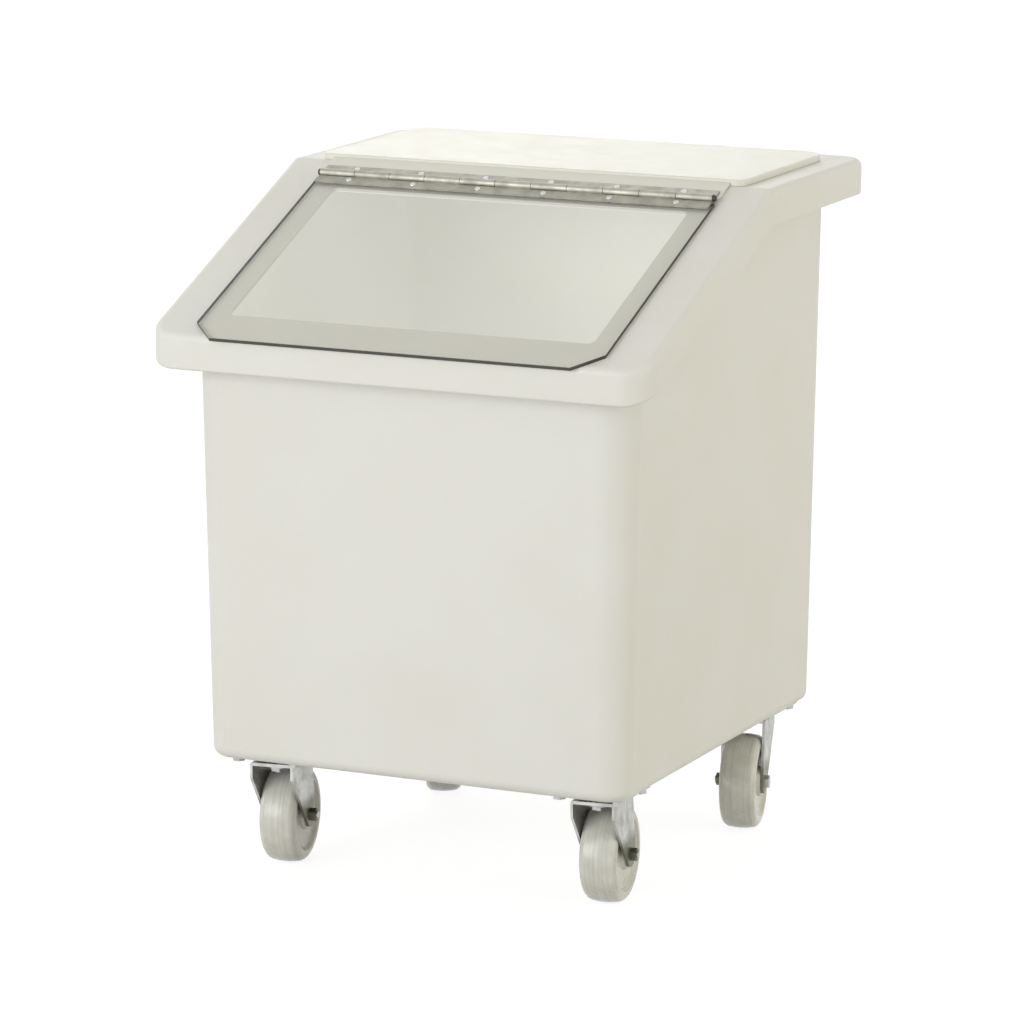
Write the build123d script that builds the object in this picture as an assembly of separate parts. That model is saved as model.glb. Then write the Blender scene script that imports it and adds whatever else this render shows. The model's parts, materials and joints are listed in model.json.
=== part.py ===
from build123d import *
from math import atan2, cos, degrees, radians, sin, tan
import os

os.makedirs("parts", exist_ok=True)

# Driving dimensions, in millimetres. X runs across the bin, Y runs from its front to its back, Z is up.

# Tub: a hollow polyethylene moulding with a stepped-out rim, a sloping mouth and a flat rear deck
tub_width = 505.0
tub_depth = 547.0
tub_height = 628.0
wall = 5.0
floor_thickness = 6.0
draft_angle = 1.08
tub_corner = 28.0
tub_bottom_round = 12.0
rim_reach = 44.0
rim_drop = 40.0
rim_corner = 32.0
rim_top_round = 9.0
rim_lower_round = 3.0
lip_height = 481.0
slope_run = 351.0
mouth_width = 434.0
mouth_front_margin = 47.5
mouth_back_margin = 59.0
mouth_corner = 8.0
deck_opening_width = 440.0
deck_opening_front_margin = 33.0
deck_opening_back_margin = 63.0
deck_opening_corner = 16.0

# Front lid: a clear sheet that lies on the slope
lid_width = 485.0
lid_thickness = 4.0
lid_overhang = 7.0
lid_corner_cut = 29.0
lid_to_hinge = 5.5
seat_gap = 0.3

# Piano hinge between the front lid and the rear cover
hinge_from_bend = 39.5
hinge_length = 480.0
hinge_leaf_thickness = 2.0
hinge_leaf_reach = 13.0
hinge_knuckle_radius = 4.5
hinge_knuckle_count = 11
hinge_rod_radius = 2.0
hinge_fold_gap = 1.0
knuckle_end_gap = 0.6
running_clearance = 0.05
rod_cap_radius = 3.8
rod_cap_length = 3.0
rivet_radius = 2.0
rivet_head_radius = 3.6
rivet_head_height = 1.2
rivet_head_round = 1.0
rivet_inset = 6.5
rivet_count = 6
rivet_floor = 0.8

# Rear cover: a shallow moulded tray, upside down on the rear deck
cover_inset = 37.0
cover_height = 7.0
cover_wall = 4.0
cover_corner = 28.0
cover_front_corner = 10.0
cover_edge_round = 2.0
cover_rib_depth = 12.0
cover_rib_thickness = 4.0
cover_rib_clearance = 1.5

# Castors: swivel castors with nylon wheels, bolted to inserts in the tub's floor
castor_height = 138.0
castor_trail = 38.0
castor_side_setback = 56.5
front_castor_setback = 68.0
rear_castor_setback = 56.0
front_left_turn = 9.0
front_right_turn = 7.0
rear_left_turn = 205.0
rear_right_turn = 193.0
wheel_diameter = 109.0
wheel_width = 42.0
wheel_crown_drop = 1.0
wheel_shoulder_round = 9.0
wheel_web_recess = 3.5
wheel_rim_depth = 13.0
wheel_hub_radius = 16.0
wheel_side_play = 0.4
sleeve_radius = 6.0
axle_radius = 4.0
axle_hole_clearance = 0.2
axle_head_height = 5.3
axle_nut_height = 6.5
axle_tip = 1.5
hex_across_flats = 13.0
plate_length = 92.0
plate_breadth = 78.0
plate_thickness = 3.0
plate_corner = 9.0
plate_bolt_spacing_x = 70.0
plate_bolt_spacing_y = 58.0
plate_bolt_radius = 4.0
bolt_hole_clearance = 0.4
plate_bolt_grip = 13.0
bolt_head_height = 5.3
washer_radius = 8.0
washer_thickness = 1.6
insert_radius = 6.0
insert_length = 14.0
insert_cover = 2.0
pad_margin = 6.0
fork_crown_thickness = 3.5
fork_front_reach = 27.0
fork_back_reach = 42.0
fork_side_drop = 18.0
fork_bend_round = 2.5
fork_wall = 3.0
fork_leg_gap = 44.0
fork_foot_radius = 14.0
race_gap = 2.0
race_outer_radius = 26.0
race_thickness = 6.0
upper_ball_radius = 2.5
upper_ball_pitch = 20.5
upper_ball_count = 20
lower_ball_radius = 2.0
lower_ball_pitch = 11.0
lower_ball_count = 14
lower_race_radius = 15.0
lower_race_thickness = 3.0
ball_clearance = 0.1
kingpin_radius = 5.0
kingpin_head_radius = 9.0
kingpin_head_height = 1.7
kingpin_nut_height = 5.0
kingpin_nut_flats = 17.0
kingpin_tip = 1.5

# How far apart two points may lie and still be taken as one
same_place = 0.01

# Worked-out places. Y is counted from the front edge of the tub's underside until export.
deck_z = castor_height + tub_height
lip_z = castor_height + lip_height
rim_front_y = -rim_reach
rim_back_y = tub_depth + rim_reach
bend_y = rim_front_y + slope_run
slope_angle = degrees(atan2(deck_z - lip_z, slope_run))
slope_cos = cos(radians(slope_angle))
slope_sin = sin(radians(slope_angle))
slope_length = slope_run / slope_cos
rim_width = tub_width + 2 * rim_reach
rim_depth = tub_depth + 2 * rim_reach
tub_middle_y = tub_depth / 2
reach = 2 * (rim_depth + tub_height)

lid_low = seat_gap
lid_high = seat_gap + lid_thickness
hinge_at = slope_length - hinge_from_bend
hinge_high = lid_high + hinge_leaf_thickness + hinge_fold_gap
lid_back = hinge_at - lid_to_hinge
leaf_clear = hinge_knuckle_radius + knuckle_end_gap
flange_front = hinge_at + leaf_clear

cover_low_z = deck_z + seat_gap
cover_top_z = cover_low_z + cover_height
cover_back_y = rim_back_y - cover_inset
deck_opening_front_y = bend_y + deck_opening_front_margin
deck_opening_back_y = rim_back_y - deck_opening_back_margin

front_reach_y = rim_front_y - lid_overhang * slope_cos - lid_high * slope_sin
middle_y = (front_reach_y + rim_back_y) / 2

plate_low_z = castor_height - plate_thickness
race_low_z = plate_low_z - race_thickness
crown_high_z = race_low_z - race_gap
crown_low_z = crown_high_z - fork_crown_thickness
upper_ball_z = (race_low_z + crown_high_z) / 2
lower_ball_z = crown_low_z - race_gap / 2
lower_race_high_z = crown_low_z - race_gap
lower_race_low_z = lower_race_high_z - lower_race_thickness
axle_z = wheel_diameter / 2
leg_inner_x = fork_leg_gap / 2
leg_outer_x = leg_inner_x + fork_wall
castor_x = tub_width / 2 - castor_side_setback
front_castor_y = front_castor_setback
rear_castor_y = tub_depth - rear_castor_setback

castors = {
    "front_left": (-castor_x, front_castor_y, front_left_turn),
    "front_right": (castor_x, front_castor_y, front_right_turn),
    "rear_left": (-castor_x, rear_castor_y, rear_left_turn),
    "rear_right": (castor_x, rear_castor_y, rear_right_turn),
}


def save(node, shape):
    """Write one sub-part, moved so that the origin is midway between the front and the back."""
    export_step(Pos(0, -middle_y, 0) * shape, f"parts/{node}.step")


def group(solids):
    return Compound(children=list(solids))


def side_profile(points):
    """Extrude a closed outline in the Y-Z plane across the whole width."""
    outline = make_face(Polyline(*points, close=True))
    return extrude(Plane.YZ * outline, amount=reach / 2, both=True)


def deck_line(drop):
    """Outline points along the slope and the rear deck, lowered by a drop, past both ends."""
    start_y = rim_front_y - slope_run
    start_z = lip_z - (deck_z - lip_z) - drop
    return [(start_y, start_z), (bend_y, deck_z - drop), (rim_back_y + slope_run, deck_z - drop)]


def below_deck(drop):
    start, bend, end = deck_line(drop)
    return side_profile([(start[0], -reach), start, bend, end, (end[0], -reach)])


def above_deck(drop):
    start, bend, end = deck_line(drop)
    return side_profile([(start[0], reach), start, bend, end, (end[0], reach)])


def tub_prism(inset, low_z):
    """The tapered outline of the tub, drawn in by an inset, from a height up to the deck."""
    growth = 2 * tan(radians(draft_angle)) * (low_z - castor_height) - 2 * inset
    outline = RectangleRounded(tub_width + growth, tub_depth + growth, tub_corner - inset)
    return Pos(0, tub_middle_y, low_z) * extrude(outline, amount=deck_z - low_z, taper=-draft_angle)


def rim_prism(inset):
    outline = RectangleRounded(rim_width - 2 * inset, rim_depth - 2 * inset, rim_corner - inset)
    return Pos(0, tub_middle_y, 0) * extrude(outline, amount=reach)


def slope_place(along, high=0.0, x=0.0):
    """Local frame on the slope: X across, Y up the slope, Z square to it, from the front lip."""
    y = rim_front_y + along * slope_cos - high * slope_sin
    z = lip_z + along * slope_sin + high * slope_cos
    return Pos(x, y, z) * Rot(slope_angle, 0, 0)


def rim_block():
    """The rim as a solid, with soft outer edges."""
    block = rim_prism(0) & below_deck(0) & above_deck(rim_drop)
    top_faces = [face for face in block.faces() if face.normal_at().Z > 0.5]
    low_faces = [face for face in block.faces() if face.normal_at().Z < -0.5]
    for faces, radius in ((top_faces, rim_top_round), (low_faces, rim_lower_round)):
        outer = [edge for face in faces for edge in face.edges() if not is_bend(edge)]
        block = fillet([edge for edge in block.edges() if has_match(edge, outer)], radius)
    return block


def is_bend(edge):
    """True for the straight edges across the bin where the slope meets the flat deck."""
    middle = edge @ 0.5
    return abs(middle.Y - bend_y) < 1 and abs(middle.X) < 1


def has_match(edge, others):
    return any((edge @ 0.5 - other @ 0.5).length < same_place for other in others)


def bottom_edges(shape, low_z):
    return [edge for edge in shape.edges() if abs((edge @ 0.5).Z - low_z) < same_place]


def castor_pads():
    """Thicker stretches of floor that hold the castor inserts."""
    height = insert_length + insert_cover
    outline = RectangleRounded(
        plate_bolt_spacing_x + 2 * (insert_radius + pad_margin),
        plate_bolt_spacing_y + 2 * (insert_radius + pad_margin),
        plate_corner,
    )
    pad = extrude(outline, amount=height)
    return [Pos(x, y, castor_height) * pad for x, y, turn in castors.values()]


def make_tub():
    outer = tub_prism(0, castor_height) & below_deck(rim_drop / 2)
    outer = fillet(bottom_edges(outer, castor_height), tub_bottom_round)
    outer = outer + rim_block()
    inner_z = castor_height + floor_thickness
    inner = tub_prism(wall, inner_z)
    inner = fillet(bottom_edges(inner, inner_z), tub_bottom_round - wall)
    rim_hollow = rim_prism(wall) & below_deck(wall) & above_deck(rim_drop - wall)
    inner = (inner & below_deck(wall)) + rim_hollow
    for pad in castor_pads():
        inner = inner - pad
    mouth_length = slope_length - mouth_front_margin - mouth_back_margin
    mouth = RectangleRounded(mouth_width, mouth_length, mouth_corner)
    mouth = slope_place(mouth_front_margin + mouth_length / 2) * mouth
    mouth = extrude(mouth, amount=2 * wall, both=True)
    opening_depth = deck_opening_back_y - deck_opening_front_y
    opening = RectangleRounded(deck_opening_width, opening_depth, deck_opening_corner)
    opening = Pos(0, deck_opening_front_y + opening_depth / 2, deck_z) * opening
    opening = extrude(opening, amount=2 * wall, both=True)
    bores = [place * Cylinder(insert_radius, 2 * insert_length) for place in bolt_places(castor_height)]
    return outer - inner - mouth - opening - bores


def plate_bolt_places():
    """Centres of the four bolts of one castor, about its swivel axis."""
    half_x = plate_bolt_spacing_x / 2
    half_y = plate_bolt_spacing_y / 2
    return [Pos(side * half_x, end * half_y, 0) for side in (-1, 1) for end in (-1, 1)]


def bolt_places(z):
    """Centres of all castor bolts at one height."""
    return [Pos(x, y, z) * place for x, y, turn in castors.values() for place in plate_bolt_places()]


def make_inserts():
    insert = Cylinder(insert_radius, insert_length) - Cylinder(plate_bolt_radius, insert_length)
    return group(place * insert for place in bolt_places(castor_height + insert_length / 2))


def hexagon(across_flats, height):
    return extrude(RegularPolygon(across_flats / 2, 6, major_radius=False), amount=height)


def make_castor_bolts():
    """Hexagon bolts from below, each with its head under a washer."""
    head_z = plate_low_z - washer_thickness - bolt_head_height
    head = hexagon(hex_across_flats, bolt_head_height)
    length = washer_thickness + plate_thickness + plate_bolt_grip
    shank = Pos(0, 0, bolt_head_height + length / 2) * Cylinder(plate_bolt_radius, length)
    return group(place * (head + shank) for place in bolt_places(head_z))


def make_castor_washers():
    hole = plate_bolt_radius + bolt_hole_clearance
    washer = Cylinder(washer_radius, washer_thickness) - Cylinder(hole, washer_thickness)
    return group(place * washer for place in bolt_places(plate_low_z - washer_thickness / 2))


def ball_groove(pitch, ball_radius, z):
    """Ring-shaped groove for a row of balls, with a little room round them."""
    return Pos(0, 0, z) * Torus(pitch, ball_radius + ball_clearance)


def make_castor_plate():
    """Top plate with four bolt holes, a sunk seat for the kingpin head and the upper race below it."""
    plate = extrude(RectangleRounded(plate_length, plate_breadth, plate_corner), amount=plate_thickness)
    plate = Pos(0, 0, plate_low_z) * plate
    race = Pos(0, 0, race_low_z + race_thickness / 2) * Cylinder(race_outer_radius, race_thickness)
    plate = plate + race - ball_groove(upper_ball_pitch, upper_ball_radius, upper_ball_z)
    seat_depth = kingpin_head_height + seat_gap
    seat = Cylinder(kingpin_head_radius + seat_gap, seat_depth)
    plate = plate - Pos(0, 0, castor_height - seat_depth / 2) * seat - Cylinder(kingpin_radius, reach)
    hole = Cylinder(plate_bolt_radius + bolt_hole_clearance, reach)
    return plate - [place * hole for place in plate_bolt_places()]


def make_kingpin():
    head_z = castor_height - seat_gap - kingpin_head_height
    tip_z = lower_race_low_z - kingpin_nut_height - kingpin_tip
    head = Cylinder(kingpin_head_radius, kingpin_head_height)
    shank = Cylinder(kingpin_radius, head_z - tip_z)
    head = Pos(0, 0, head_z + kingpin_head_height / 2) * head
    return head + Pos(0, 0, (head_z + tip_z) / 2) * shank


def make_kingpin_nut():
    nut = hexagon(kingpin_nut_flats, kingpin_nut_height)
    return Pos(0, 0, lower_race_low_z - kingpin_nut_height) * nut - make_kingpin()


def make_lower_race():
    middle_z = lower_race_low_z + lower_race_thickness / 2
    race = Pos(0, 0, middle_z) * Cylinder(lower_race_radius, lower_race_thickness)
    return race - ball_groove(lower_ball_pitch, lower_ball_radius, lower_ball_z) - make_kingpin()


def make_ball_row(radius, pitch, count, z):
    ball = Pos(pitch, 0, z) * Sphere(radius)
    return group(Rot(0, 0, 360 * index / count) * ball for index in range(count))


def make_fork():
    """Pressed fork: a flat crown with a ball groove each side, bent down into two legs to the axle."""
    crown_length = fork_front_reach + fork_back_reach
    crown_middle = (fork_back_reach - fork_front_reach) / 2
    crown = Box(2 * leg_outer_x, crown_length, fork_crown_thickness)
    crown = Pos(0, crown_middle, (crown_low_z + crown_high_z) / 2) * crown
    top = Pos(crown_middle, crown_high_z - fork_side_drop / 2) * Rectangle(crown_length, fork_side_drop)
    foot = Pos(castor_trail, axle_z) * Circle(fork_foot_radius)
    leg = make_hull(foot.edges() + top.edges())
    legs = []
    for side in (-1, 1):
        side_view = Plane.YZ.offset(side * (leg_inner_x + fork_wall / 2))
        legs.append(extrude(side_view * leg, amount=fork_wall / 2, both=True))
    fork = crown + legs
    fork = fillet([edge for edge in fork.edges() if is_crown_bend(edge)], fork_bend_round)
    fork = fork - ball_groove(upper_ball_pitch, upper_ball_radius, upper_ball_z)
    fork = fork - ball_groove(lower_ball_pitch, lower_ball_radius, lower_ball_z)
    fork = fork - Cylinder(kingpin_radius + race_gap, reach)
    return fork - axle_place() * Cylinder(axle_radius + axle_hole_clearance, reach)


def is_crown_bend(edge):
    """True for the two long outer edges where the crown turns down into the legs."""
    middle = edge @ 0.5
    beside = abs(abs(middle.X) - leg_outer_x) < same_place
    return beside and abs(middle.Z - crown_high_z) < same_place


def axle_place():
    """Local frame on the axle: Z points along it, to the right when the fork trails back."""
    return Pos(0, castor_trail, axle_z) * Rot(0, 90, 0)


def make_wheel():
    """Solid nylon wheel: crowned tread, soft shoulders, recessed web and a long hub."""
    half = wheel_width / 2
    radius = wheel_diameter / 2
    shoulder_radius = radius - wheel_crown_drop
    shoulder_half = half - wheel_shoulder_round
    rim_inner = radius - wheel_rim_depth
    web_half = half - wheel_web_recess
    hub_half = leg_inner_x - wheel_side_play
    bore = sleeve_radius + running_clearance
    face_radius = shoulder_radius - wheel_shoulder_round
    tread_ends = [(shoulder_radius, side * shoulder_half) for side in (-1, 1)]
    lines = [
        ThreePointArc(tread_ends[0], (radius, 0), tread_ends[1]),
        Line((bore, -hub_half), (bore, hub_half)),
    ]
    for side, tread_end in zip((-1, 1), tread_ends):
        lines.append(RadiusArc(tread_end, (face_radius, side * half), -side * wheel_shoulder_round))
        lines.append(
            Polyline(
                (face_radius, side * half),
                (rim_inner, side * half),
                (rim_inner - wheel_web_recess, side * web_half),
                (wheel_hub_radius + wheel_web_recess / 2, side * web_half),
                (wheel_hub_radius, side * hub_half),
                (bore, side * hub_half),
            )
        )
    outline = make_face(lines)
    return axle_place() * revolve(Plane.XZ * outline, Axis.Z)


def make_axle_sleeve():
    sleeve = Cylinder(sleeve_radius, fork_leg_gap) - Cylinder(axle_radius, fork_leg_gap)
    return axle_place() * sleeve


def make_axle_bolt():
    """Axle bolt with its head outside the left leg and its tip just past the nut."""
    head = Pos(0, 0, -leg_outer_x - axle_head_height) * hexagon(hex_across_flats, axle_head_height)
    tip = leg_outer_x + axle_nut_height + axle_tip
    shank = Pos(0, 0, (tip - leg_outer_x) / 2) * Cylinder(axle_radius, tip + leg_outer_x)
    return axle_place() * (head + shank)


def make_axle_nut():
    nut = Pos(0, 0, leg_outer_x) * hexagon(hex_across_flats, axle_nut_height)
    return axle_place() * nut - make_axle_bolt()


def make_lid():
    """Clear sheet with its two lower corners cut off, from past the front lip to the hinge."""
    half = lid_width / 2
    sheet = Polygon(
        (-half, lid_back),
        (-half, lid_corner_cut - lid_overhang),
        (lid_corner_cut - half, -lid_overhang),
        (half - lid_corner_cut, -lid_overhang),
        (half, lid_corner_cut - lid_overhang),
        (half, lid_back),
        align=None,
    )
    lid = slope_place(0, lid_low) * extrude(sheet, amount=lid_thickness)
    return lid - [place * Cylinder(rivet_radius, reach) for place in rivet_places(-1)]


def spread(count):
    """Centres across the bin of a number of equal stretches of the hinge, from the left."""
    return [((index + 0.5) / count - 0.5) * hinge_length for index in range(count)]


def rivet_places(side):
    """Rivet centres in the lid's leaf (side -1) or the cover's leaf (side 1), on top of the leaf."""
    along = hinge_at + side * (hinge_leaf_reach + leaf_clear - rivet_inset)
    high = lid_high + hinge_leaf_thickness
    return [slope_place(along, high, x) for x in spread(rivet_count)]


def hinge_place(x=0.0):
    """Local frame on the hinge's axis, with Z along it, to the right."""
    return slope_place(hinge_at, hinge_high, x) * Rot(0, 90, 0)


def make_hinge_leaf(side):
    """One hinge leaf. The cover's leaf (side 1) has the outermost knuckles."""
    own = spread(hinge_knuckle_count)[(1 - side) // 2 :: 2]
    knuckle_length = hinge_length / hinge_knuckle_count - knuckle_end_gap
    neck = Box(knuckle_length, leaf_clear, hinge_leaf_thickness)
    leaf = Box(hinge_length, hinge_leaf_reach, hinge_leaf_thickness)
    leaf = Pos(0, side * (leaf_clear + hinge_leaf_reach / 2), 0) * leaf
    leaf = leaf + [Pos(x, side * leaf_clear / 2, 0) * neck for x in own]
    leaf = slope_place(hinge_at, lid_high + hinge_leaf_thickness / 2) * leaf
    leaf = leaf + [hinge_place(x) * Cylinder(hinge_knuckle_radius, knuckle_length) for x in own]
    leaf = leaf - hinge_place() * Cylinder(hinge_rod_radius + running_clearance, reach)
    return leaf - [place * Cylinder(rivet_radius, reach) for place in rivet_places(side)]


def make_hinge_rod():
    return hinge_place() * Cylinder(hinge_rod_radius, hinge_length)


def make_rod_caps():
    """Push-on caps over both ends of the hinge rod."""
    caps = []
    for side in (-1, 1):
        cap = Cylinder(rod_cap_radius, rod_cap_length)
        cap = fillet(cap.edges().sort_by(Axis.Z)[-1], rod_cap_length / 2)
        at = hinge_place(side * (hinge_length + rod_cap_length) / 2)
        caps.append(at * Rot(0, 90 - side * 90, 0) * cap)
    return group(caps)


def make_rivets(side, low):
    """Rivets with a low domed head, from the top of the leaf down to a height over the slope."""
    high = lid_high + hinge_leaf_thickness
    shank = Pos(0, 0, (low - high) / 2) * Cylinder(rivet_radius, high - low)
    head = Pos(0, 0, rivet_head_height / 2) * Cylinder(rivet_head_radius, rivet_head_height)
    head = fillet(head.edges().sort_by(Axis.Z)[-1], rivet_head_round)
    return group(place * (shank + head) for place in rivet_places(side))


def inset_rectangle(width, depth, corner, inset):
    return RectangleRounded(width - 2 * inset, depth - 2 * inset, corner - inset)


def make_cover():
    """Rear cover: inverted tray with a locating rib, and a flange that comes down over the bend."""
    width = rim_width - 2 * cover_inset
    depth = cover_back_y - bend_y
    outline = RectangleRounded(width, depth, cover_corner)
    outline = outline + Pos(0, -depth / 4) * RectangleRounded(width, depth / 2, cover_front_corner)
    tray = extrude(outline, amount=cover_height)
    tray = fillet(tray.faces().sort_by(Axis.Z)[-1].edges(), cover_edge_round)
    hollow = inset_rectangle(width, depth, cover_corner, cover_wall)
    tray = tray - extrude(hollow, amount=cover_height - cover_wall)
    tray = Pos(0, bend_y + depth / 2, cover_low_z) * tray
    opening_depth = deck_opening_back_y - deck_opening_front_y
    opening = (deck_opening_width, opening_depth, deck_opening_corner)
    rib = inset_rectangle(*opening, cover_rib_clearance)
    rib = rib - inset_rectangle(*opening, cover_rib_clearance + cover_rib_thickness)
    rib_low_z = deck_z - cover_rib_depth
    rib = extrude(rib, amount=cover_top_z - cover_wall - rib_low_z)
    rib = Pos(0, deck_opening_front_y + opening_depth / 2, rib_low_z) * rib
    flange = RectangleRounded(lid_width, 2 * (slope_length - flange_front), cover_front_corner)
    flange = slope_place(slope_length, seat_gap) * extrude(flange, amount=lid_thickness)
    flange = flange & below_deck(-lid_high) & above_deck(-seat_gap)
    cover = tray + rib + flange
    bore = Cylinder(rivet_radius, 2 * (lid_high + hinge_leaf_thickness - rivet_floor))
    return cover - [place * bore for place in rivet_places(1)]


save("tub", make_tub())
save("threaded_inserts", make_inserts())
save("castor_bolts", make_castor_bolts())
save("castor_washers", make_castor_washers())
save("kingpins", group(Pos(x, y, 0) * make_kingpin() for x, y, turn in castors.values()))
save("kingpin_nuts", group(Pos(x, y, 0) * make_kingpin_nut() for x, y, turn in castors.values()))
save("lower_races", group(Pos(x, y, 0) * make_lower_race() for x, y, turn in castors.values()))
save("rear_cover", make_cover())
save("cover_hinge_leaf", make_hinge_leaf(1))
save("cover_rivets", make_rivets(1, rivet_floor))
save("hinge_rod", make_hinge_rod())
save("hinge_rod_caps", make_rod_caps())
save("front_lid", make_lid())
save("lid_hinge_leaf", make_hinge_leaf(-1))
save("lid_rivets", make_rivets(-1, lid_low))

fork_pieces = {
    "fork": make_fork(),
    "axle_sleeve": make_axle_sleeve(),
    "axle_bolt": make_axle_bolt(),
    "axle_nut": make_axle_nut(),
    "upper_balls": make_ball_row(upper_ball_radius, upper_ball_pitch, upper_ball_count, upper_ball_z),
    "lower_balls": make_ball_row(lower_ball_radius, lower_ball_pitch, lower_ball_count, lower_ball_z),
    "wheel": make_wheel(),
}
castor_plate = make_castor_plate()
for corner, (x, y, turn) in castors.items():
    save(f"{corner}_castor_plate", Pos(x, y, 0) * castor_plate)
    for name, piece in fork_pieces.items():
        save(f"{corner}_{name}", Pos(x, y, 0) * Rot(0, 0, turn) * piece)
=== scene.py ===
import json
import math

import bpy
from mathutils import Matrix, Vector

# The tub's shape in metres, as its solid has it. A core is what its rounded corners are drawn about.
SLOPE_NORMAL = (0.0, -0.3863, 0.9224)
SLOPE_RISE = 0.4188
SLOPE_HEIGHT = 0.7503
DECK_HEIGHT = 0.766
FLOOR_HEIGHT = 0.138
TUB_MIDDLE_Y = 0.0041
TUB_TAPER = 0.01885
TUB_CORE = (0.2245, 0.2455)
TUB_CORNER = 0.028
BOTTOM_ROUND = 0.012
RIM_CORE = (0.2645, 0.2855)
RIM_CORNER = 0.032
RIM_DEPTH = 0.036
HALF_WALL = 0.0025
HALF_TOP = 0.0027

# How far each castor is turned at rest, in degrees
CASTOR_TURNS = {"front_left": 9.0, "front_right": 7.0, "rear_left": 205.0, "rear_right": 193.0}

# Finishes
BLACK = (0.0, 0.0, 0.0, 1)
TURNED_NYLON = (0.50, 0.495, 0.43, 1)
# Painted shade on the castor forks about the axles, and how far up it fades
PAINTED_SHADE_COLOUR = (0.20, 0.20, 0.155, 1)
PAINTED_SHADE_FADE = 0.012
LID_TINT = (0.955, 0.955, 0.94, 1)
LID_GLOSS = (0.9, 0.9, 0.9, 1)
# The lid's edges: painted dark reflection, near black with paler streaks
PAINTED_DARK_EDGE = (0.035, 0.035, 0.03, 1)
PAINTED_DARK_EDGE_PALE = (0.08, 0.08, 0.065, 1)

# The photograph's viewpoint, in metres, and its lens in millimetres
CAMERA_PLACE = (2.464, -5.270, 1.603)
CAMERA_TARGET = (0.006, -0.02, 0.391)
CAMERA_LENS = 186.0

# Each lamp's place, size, watts and colour, and the point that all of them face
LAMPS = {
    "key_lamp": ((-1.5, -4.7, 1.5), 2.8, 98.0, (0.97, 0.98, 1.0)),
    "side_lamp": ((4.3, 0.4, 0.95), 3.2, 53.0, (1.0, 0.98, 0.81)),
    "back_lamp": ((-2.4, 4.0, 2.6), 3.0, 36.0, (1.0, 0.99, 0.94)),
}
LAMP_TARGET = Vector((0.0, 0.0, 0.4))

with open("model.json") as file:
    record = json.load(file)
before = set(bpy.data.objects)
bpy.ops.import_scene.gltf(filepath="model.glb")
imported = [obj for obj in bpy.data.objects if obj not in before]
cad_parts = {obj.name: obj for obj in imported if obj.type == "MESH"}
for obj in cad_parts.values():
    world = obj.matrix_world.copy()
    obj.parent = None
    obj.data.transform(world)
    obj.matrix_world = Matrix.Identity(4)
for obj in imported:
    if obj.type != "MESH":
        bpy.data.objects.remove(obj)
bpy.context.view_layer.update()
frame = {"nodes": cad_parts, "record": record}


# Node helpers


class Nodes:
    """Adds and links nodes of one node tree."""

    def __init__(self, tree):
        self.tree = tree
        self.tree.nodes.clear()

    def add(self, kind, settings=None, **inputs):
        node = self.tree.nodes.new(kind)
        for name, value in (settings or {}).items():
            setattr(node, name, value)
        for name, value in inputs.items():
            self.put(node.inputs[name.replace("_", " ")], value)
        return node

    def put(self, socket, value):
        if isinstance(value, bpy.types.NodeSocket):
            self.tree.links.new(value, socket)
        else:
            socket.default_value = value

    def math(self, operation, first, second=0.0):
        node = self.add("ShaderNodeMath", {"operation": operation})
        self.put(node.inputs[0], first)
        self.put(node.inputs[1], second)
        return node.outputs[0]

    def vector_math(self, operation, first, second):
        node = self.add("ShaderNodeVectorMath", {"operation": operation})
        self.put(node.inputs[0], first)
        self.put(node.inputs[1], second)
        return node

    def remap(self, value, low, high, to_low, to_high):
        node = self.add("ShaderNodeMapRange")
        for socket, given in zip(node.inputs, (value, low, high, to_low, to_high)):
            self.put(socket, given)
        return node.outputs[0]

    def mix_colour(self, factor, first, second):
        node = self.add("ShaderNodeMix", {"data_type": "RGBA"})
        self.put(node.inputs[0], factor)
        self.put(node.inputs[6], first)
        self.put(node.inputs[7], second)
        return node.outputs[2]

    def mix_shader(self, factor, first, second):
        node = self.add("ShaderNodeMixShader")
        for socket, given in zip(node.inputs, (factor, first, second)):
            self.put(socket, given)
        return node.outputs[0]

    def noise(self, coordinates, scale, detail=2.0, roughness=0.5):
        node = self.add(
            "ShaderNodeTexNoise", Vector=coordinates, Scale=scale, Detail=detail, Roughness=roughness
        )
        return node.outputs[0]


def new_group(name, inputs, outputs):
    """An empty node group with named inputs, given as name to (type, value), and outputs."""
    tree = bpy.data.node_groups.new(name, "ShaderNodeTree")
    for title, (kind, value) in inputs.items():
        socket = tree.interface.new_socket(title, in_out="INPUT", socket_type=f"NodeSocket{kind}")
        socket.default_value = value
    for title, kind in outputs.items():
        tree.interface.new_socket(title, in_out="OUTPUT", socket_type=f"NodeSocket{kind}")
    nodes = Nodes(tree)
    return tree, nodes, nodes.add("NodeGroupInput"), nodes.add("NodeGroupOutput")


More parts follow.
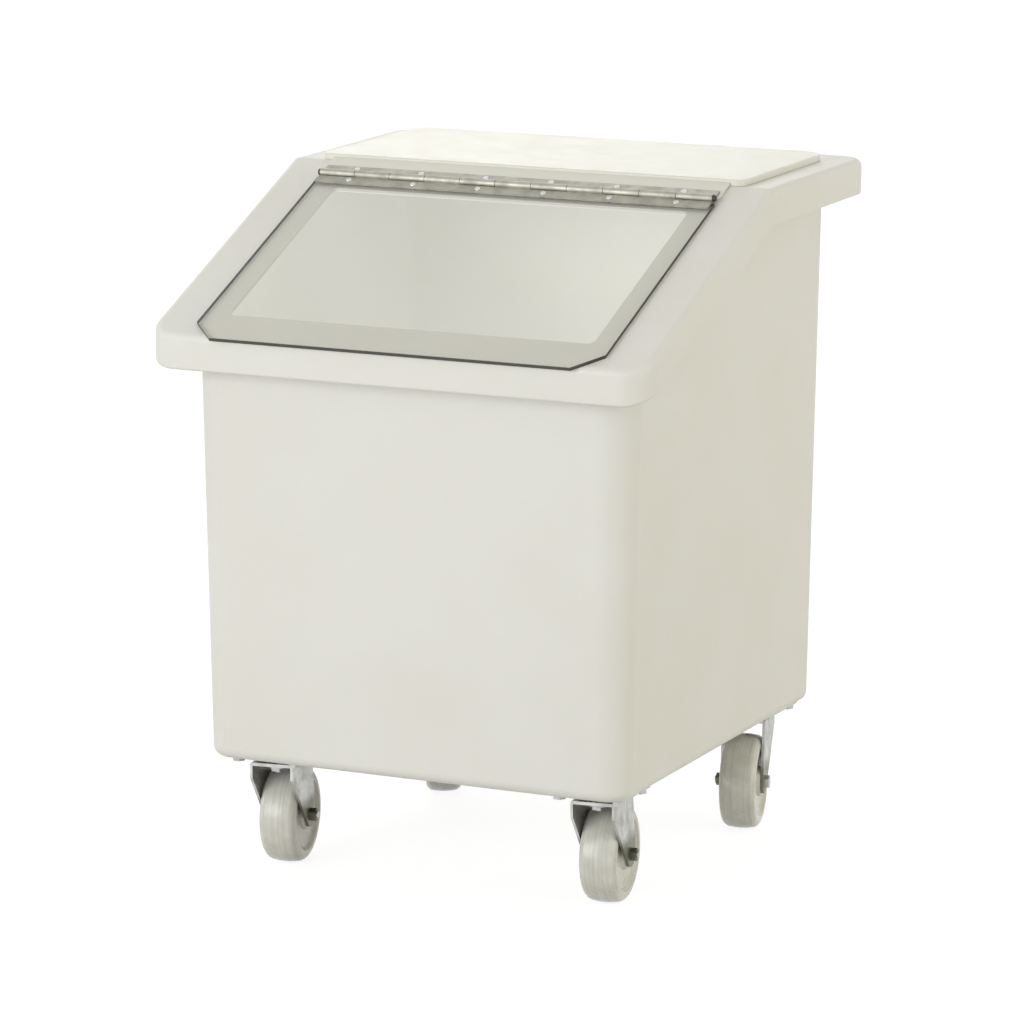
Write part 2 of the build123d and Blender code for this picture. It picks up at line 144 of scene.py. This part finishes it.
def moulded_plastic_group():
    """Soft clouding, a slightly uneven gloss, gentle waviness and orange peel of moulded plastic."""
    tree, nodes, given, out = new_group(
        "moulded_plastic",
        {
            "Colour": ("Color", (0.8, 0.8, 0.75, 1)),
            "Cloud Colour": ("Color", (0.75, 0.75, 0.68, 1)),
            "Cloud Scale": ("Float", 7.0),
            "Peel Scale": ("Float", 320.0),
            "Peel Depth": ("Float", 0.00006),
            "Roughness": ("Float", 0.4),
        },
        {"Colour": "Color", "Roughness": "Float", "Normal": "Vector"},
    )
    place = nodes.add("ShaderNodeTexCoord").outputs["Object"]
    clouds = nodes.noise(place, given.outputs["Cloud Scale"], 3.0)
    amount = nodes.remap(clouds, 0.35, 0.65, 0.0, 1.0)
    colour = nodes.mix_colour(amount, given.outputs["Colour"], given.outputs["Cloud Colour"])
    nodes.put(out.inputs["Colour"], colour)
    gloss = nodes.remap(nodes.noise(place, 45.0, 4.0), 0.3, 0.7, -0.05, 0.06)
    nodes.put(out.inputs["Roughness"], nodes.math("ADD", given.outputs["Roughness"], gloss))
    peel = nodes.noise(place, given.outputs["Peel Scale"])
    peel = nodes.math("MULTIPLY", peel, given.outputs["Peel Depth"])
    waves = nodes.math("MULTIPLY", nodes.noise(place, 5.0, 1.0), 0.0012)
    bump = nodes.add("ShaderNodeBump", Strength=1.0, Distance=1.0, Height=nodes.math("ADD", peel, waves))
    nodes.put(out.inputs["Normal"], bump.outputs[0])
    return tree


def zinc_plate_group():
    """Cloudy zinc plating with fine rolling marks and a few duller patches."""
    tree, nodes, given, out = new_group(
        "zinc_plate",
        {
            "Colour": ("Color", (0.5, 0.5, 0.5, 1)),
            "Dull Colour": ("Color", (0.35, 0.35, 0.34, 1)),
            "Roughness": ("Float", 0.32),
        },
        {"Colour": "Color", "Roughness": "Float", "Normal": "Vector"},
    )
    place = nodes.add("ShaderNodeTexCoord").outputs["Object"]
    patches = nodes.remap(nodes.noise(place, 55.0, 5.0, 0.65), 0.38, 0.68, 0.0, 1.0)
    colour = nodes.mix_colour(patches, given.outputs["Colour"], given.outputs["Dull Colour"])
    nodes.put(out.inputs["Colour"], colour)
    spread = nodes.remap(patches, 0.0, 1.0, -0.04, 0.14)
    nodes.put(out.inputs["Roughness"], nodes.math("ADD", given.outputs["Roughness"], spread))
    stretched = nodes.add("ShaderNodeMapping", Vector=place, Scale=(2600.0, 240.0, 240.0)).outputs[0]
    marks = nodes.math("MULTIPLY", nodes.noise(stretched, 1.0, 3.0), 0.00003)
    bump = nodes.add("ShaderNodeBump", Strength=1.0, Distance=1.0, Height=marks)
    nodes.put(out.inputs["Normal"], bump.outputs[0])
    return tree


MOULDED_PLASTIC = moulded_plastic_group()
ZINC_PLATE = zinc_plate_group()


def new_material(name):
    """A material with its nodes cleared, those nodes and their output."""
    material = bpy.data.materials.new(name)
    material.use_nodes = True
    nodes = Nodes(material.node_tree)
    return material, nodes, nodes.add("ShaderNodeOutputMaterial")


def finish_of(nodes, group, **values):
    """The Principled sockets that a finish group drives."""
    node = nodes.add("ShaderNodeGroup", {"node_tree": group}, **values)
    return {
        "Base_Color": node.outputs["Colour"],
        "Roughness": node.outputs["Roughness"],
        "Normal": node.outputs["Normal"],
    }


def reach_past(nodes, x, y, core, below=0.0):
    """How far a point lies past an upright core of the given half sizes, round its corners."""
    back = nodes.math("SUBTRACT", y, TUB_MIDDLE_Y)
    past_x = nodes.math("SUBTRACT", nodes.math("ABSOLUTE", x), core[0])
    past_y = nodes.math("SUBTRACT", nodes.math("ABSOLUTE", back), core[1])
    past = nodes.add("ShaderNodeCombineXYZ", X=past_x, Y=past_y, Z=below).outputs[0]
    past = nodes.vector_math("MAXIMUM", past, (0.0, 0.0, 0.0)).outputs["Vector"]
    return nodes.add("ShaderNodeVectorMath", {"operation": "LENGTH"}, Vector=past).outputs["Value"]


def inside_of_tub(nodes):
    """1 on the inner faces of the tub and its hollow rim, and 0 outside: where the painted glow goes."""
    place = nodes.add("ShaderNodeTexCoord").outputs["Object"]
    x, y, z = nodes.add("ShaderNodeSeparateXYZ", Vector=place).outputs
    taper = nodes.math("MULTIPLY", nodes.math("SUBTRACT", z, FLOOR_HEIGHT), TUB_TAPER)
    below = nodes.math("SUBTRACT", FLOOR_HEIGHT + BOTTOM_ROUND, z)
    below = nodes.math("MULTIPLY", below, TUB_CORNER / BOTTOM_ROUND)
    tub_wall = nodes.math("ADD", taper, TUB_CORNER - HALF_WALL)
    in_tub = nodes.math("SUBTRACT", tub_wall, reach_past(nodes, x, y, TUB_CORE, below))
    slope = nodes.math("ADD", nodes.math("MULTIPLY", y, SLOPE_RISE), SLOPE_HEIGHT - HALF_TOP)
    top = nodes.math("MINIMUM", slope, DECK_HEIGHT - HALF_TOP)
    under_top = nodes.math("SUBTRACT", top, z)
    in_rim = nodes.math("SUBTRACT", RIM_CORNER - HALF_WALL, reach_past(nodes, x, y, RIM_CORE))
    in_rim = nodes.math("MINIMUM", in_rim, nodes.math("SUBTRACT", RIM_DEPTH, under_top))
    room = nodes.math("MINIMUM", nodes.math("MAXIMUM", in_tub, in_rim), under_top)
    return nodes.remap(room, 0.0, 0.0015, 0.0, 1.0)


def turning_marks(nodes, turn):
    """Fine rings round a wheel's axle, which is turned about the upright by this many degrees."""
    place = nodes.add("ShaderNodeTexCoord").outputs["Object"]
    rings = nodes.add(
        "ShaderNodeMapping",
        {"vector_type": "TEXTURE"},
        Vector=place,
        Rotation=(0.0, 0.0, math.radians(turn)),
        Scale=(1 / 460.0, 1 / 9.0, 1 / 9.0),
    ).outputs[0]
    return nodes.noise(rings, 1.0, 3.0, 0.6)


def plastic_material(
    name, colour, cloud, roughness, glow, glow_depth, painted_inner_glow=0.0, turn=None, **values
):
    """A plastic that lets a share of the light into it, the glow, to the given depth.

    painted_inner_glow is how brightly the tub's inner faces glow, a painted glow that stands in for light
    through its walls.
    turn is that of a wheel's castor, for the marks of the lathe.
    """
    material, nodes, out = new_material(name)
    finish = finish_of(
        nodes, MOULDED_PLASTIC, Colour=colour, Cloud_Colour=cloud, Roughness=roughness, **values
    )
    # Painted glow: emission on the tub's inner faces, in their own colour, stands in for light through the
    # walls
    if painted_inner_glow:
        finish["Emission_Color"] = nodes.mix_colour(inside_of_tub(nodes), BLACK, finish["Base_Color"])
        finish["Emission_Strength"] = painted_inner_glow
    if turn is not None:
        marks = nodes.remap(turning_marks(nodes, turn), 0.42, 0.72, 0.0, 0.6)
        finish["Base_Color"] = nodes.mix_colour(marks, finish["Base_Color"], TURNED_NYLON)
    shader = nodes.add(
        "ShaderNodeBsdfPrincipled",
        IOR=1.5,
        Subsurface_Weight=glow,
        Subsurface_Radius=(1.0, 0.95, 0.8),
        Subsurface_Scale=glow_depth,
        **finish,
    )
    nodes.put(out.inputs["Surface"], shader.outputs[0])
    return material


def metal_material(name, colour, dull, roughness, painted_shade_below=0.0):
    """A plated metal. Below the given height, about the axles, it is painted dark: painted shade for the
    shadow and dark reflections there.
    """
    material, nodes, out = new_material(name)
    finish = finish_of(nodes, ZINC_PLATE, Colour=colour, Dull_Colour=dull, Roughness=roughness)
    if painted_shade_below:
        # Painted shade: below a ragged height about the axles the metal turns dark, for the shadow and dark
        # reflections there
        place = nodes.add("ShaderNodeTexCoord").outputs["Object"]
        height = nodes.add("ShaderNodeSeparateXYZ", Vector=place).outputs["Z"]
        ragged = nodes.math("MULTIPLY", nodes.noise(place, 130.0, 4.0), PAINTED_SHADE_FADE)
        height = nodes.math("ADD", height, ragged)
        painted_shade = nodes.remap(height, painted_shade_below, painted_shade_below + PAINTED_SHADE_FADE, 1.0, 0.0)
        finish["Base_Color"] = nodes.mix_colour(painted_shade, finish["Base_Color"], PAINTED_SHADE_COLOUR)
    shader = nodes.add("ShaderNodeBsdfPrincipled", Metallic=1.0, **finish)
    nodes.put(out.inputs["Surface"], shader.outputs[0])
    return material


def clear_sheet_material():
    """Clear sheet: tinted see-through faces with a gloss, and saw-cut edges painted near black, a painted
    dark reflection.
    """
    material, nodes, out = new_material("clear_sheet")
    coordinates = nodes.add("ShaderNodeTexCoord")
    facing = nodes.vector_math("DOT_PRODUCT", coordinates.outputs["Normal"], SLOPE_NORMAL).outputs["Value"]
    edge = nodes.math("LESS_THAN", nodes.math("ABSOLUTE", facing), 0.5)
    clear = nodes.add("ShaderNodeBsdfTransparent", Color=LID_TINT).outputs[0]
    gloss = nodes.add("ShaderNodeBsdfPrincipled", Base_Color=LID_GLOSS, Metallic=1.0, Roughness=0.04)
    outside = nodes.math("SUBTRACT", 1.0, nodes.add("ShaderNodeNewGeometry").outputs["Backfacing"])
    shine = nodes.math("MULTIPLY", nodes.add("ShaderNodeFresnel", IOR=1.45).outputs[0], outside)
    faces = nodes.mix_shader(shine, clear, gloss.outputs[0])
    # Painted reflection: the edges are near black with faint streaks, standing in for the dark surroundings
    # seen in them
    streaks = nodes.noise(coordinates.outputs["Object"], 90.0, 3.0)
    edge_painted_dark = nodes.mix_colour(streaks, PAINTED_DARK_EDGE, PAINTED_DARK_EDGE_PALE)
    sides = nodes.add("ShaderNodeBsdfPrincipled", Base_Color=edge_painted_dark, Roughness=0.3, IOR=1.49)
    nodes.put(out.inputs["Surface"], nodes.mix_shader(edge, faces, sides.outputs[0]))
    return material


MATERIALS = {
    # The tub's material has a painted glow on its inner faces, for light through its walls
    "tub_plastic": plastic_material(
        "tub_plastic", (0.80, 0.80, 0.785, 1), (0.782, 0.779, 0.752, 1), 0.48, 0.35, 0.006, painted_inner_glow=0.23
    ),
    "cover_plastic": plastic_material(
        "cover_plastic", (0.80, 0.80, 0.74, 1), (0.775, 0.775, 0.71, 1), 0.38, 0.25, 0.004
    ),
    "cap_plastic": plastic_material(
        "cap_plastic", (0.02, 0.02, 0.02, 1), (0.03, 0.03, 0.03, 1), 0.4, 0.0, 0.001
    ),
    "clear_sheet": clear_sheet_material(),
    "hinge_aluminium": metal_material("hinge_aluminium", (0.46, 0.45, 0.39, 1), (0.37, 0.36, 0.31, 1), 0.5),
    "rivet_aluminium": metal_material("rivet_aluminium", (0.66, 0.66, 0.65, 1), (0.55, 0.55, 0.54, 1), 0.28),
    "rod_steel": metal_material("rod_steel", (0.45, 0.45, 0.45, 1), (0.36, 0.36, 0.36, 1), 0.25),
    # The castor steel is painted dark about the axles, as painted shade
    "castor_steel": metal_material(
        "castor_steel", (0.56, 0.56, 0.54, 1), (0.38, 0.38, 0.36, 1), 0.38, painted_shade_below=0.076
    ),
    "zinc_steel": metal_material("zinc_steel", (0.50, 0.50, 0.50, 1), (0.36, 0.36, 0.35, 1), 0.3),
    # Painted shade: the nut's dark olive colour stands for zinc in shade
    "dark_nut": metal_material("dark_nut", (0.17, 0.165, 0.12, 1), (0.11, 0.11, 0.08, 1), 0.42),
    "ball_steel": metal_material("ball_steel", (0.62, 0.62, 0.63, 1), (0.52, 0.52, 0.52, 1), 0.12),
    "insert_brass": metal_material("insert_brass", (0.60, 0.43, 0.17, 1), (0.45, 0.33, 0.15, 1), 0.3),
}

for corner, castor_turn in CASTOR_TURNS.items():
    MATERIALS[f"{corner}_wheel"] = plastic_material(
        f"wheel_nylon_{corner}", (0.745, 0.745, 0.71, 1), (0.66, 0.655, 0.60, 1), 0.26, 0.3, 0.004,
        turn=castor_turn, Cloud_Scale=60.0, Peel_Scale=700.0,
    )

for row in frame["record"]["subparts"]:
    node = frame["nodes"][row["node"]]
    finish = MATERIALS.get(row["node"]) or MATERIALS[row["material_slot"]]
    node.data.materials.clear()
    node.data.materials.append(finish)


# Floor, backdrop, lamps and camera


def seen_directly(nodes):
    """1 for rays that show the background: straight from the camera, mirrored or through glass."""
    path = nodes.add("ShaderNodeLightPath")
    seen = nodes.math("MAXIMUM", path.outputs["Is Camera Ray"], path.outputs["Is Glossy Ray"])
    return nodes.math("MAXIMUM", seen, path.outputs["Is Transmission Ray"])


def make_floor():
    """A floor that shows as white with the bin's shadow, and lights the bin as a plain pale one does."""
    bpy.ops.mesh.primitive_plane_add(size=60.0)
    floor = bpy.context.object
    floor.name = "studio_floor"
    material, nodes, out = new_material("studio_floor")
    plain = nodes.add("ShaderNodeBsdfDiffuse", Color=(0.64, 0.63, 0.60, 1))
    shaded = nodes.add("ShaderNodeBsdfDiffuse", Color=(0.32, 0.32, 0.32, 1))
    white = nodes.add("ShaderNodeEmission", Color=(1, 1, 1, 1), Strength=0.85)
    bright = nodes.add("ShaderNodeAddShader")
    nodes.put(bright.inputs[0], shaded.outputs[0])
    nodes.put(bright.inputs[1], white.outputs[0])
    surface = nodes.mix_shader(seen_directly(nodes), plain.outputs[0], bright.outputs[0])
    nodes.put(out.inputs["Surface"], surface)
    floor.data.materials.append(material)


def make_world():
    """Soft even light all round, which shows as white."""
    world = bpy.data.worlds.new("studio_world")
    bpy.context.scene.world = world
    world.use_nodes = True
    nodes = Nodes(world.node_tree)
    out = nodes.add("ShaderNodeOutputWorld")
    soft = nodes.add("ShaderNodeBackground", Color=(1.0, 0.975, 0.88, 1), Strength=0.57)
    white = nodes.add("ShaderNodeBackground", Color=(1, 1, 1, 1), Strength=1.0)
    surface = nodes.mix_shader(seen_directly(nodes), soft.outputs[0], white.outputs[0])
    nodes.put(out.inputs["Surface"], surface)


def make_lamp(name, place, size, watts, colour):
    data = bpy.data.lights.new(name, "AREA")
    data.shape = "DISK"
    data.size = size
    data.energy = watts
    data.color = colour
    lamp = bpy.data.objects.new(name, data)
    bpy.context.scene.collection.objects.link(lamp)
    lamp.location = place
    lamp.rotation_mode = "QUATERNION"
    lamp.rotation_quaternion = (LAMP_TARGET - Vector(place)).to_track_quat("-Z", "Y")


def make_camera():
    data = bpy.data.cameras.new("photo_camera")
    data.lens = CAMERA_LENS
    data.sensor_width = 36.0
    camera = bpy.data.objects.new("photo_camera", data)
    bpy.context.scene.collection.objects.link(camera)
    camera.location = CAMERA_PLACE
    look = Vector(CAMERA_TARGET) - Vector(CAMERA_PLACE)
    camera.rotation_mode = "QUATERNION"
    camera.rotation_quaternion = look.to_track_quat("-Z", "Y")
    bpy.context.scene.camera = camera


make_floor()
make_world()
for lamp_name, lamp_values in LAMPS.items():
    make_lamp(lamp_name, *lamp_values)
make_camera()
bpy.context.scene.view_settings.view_transform = "Standard"
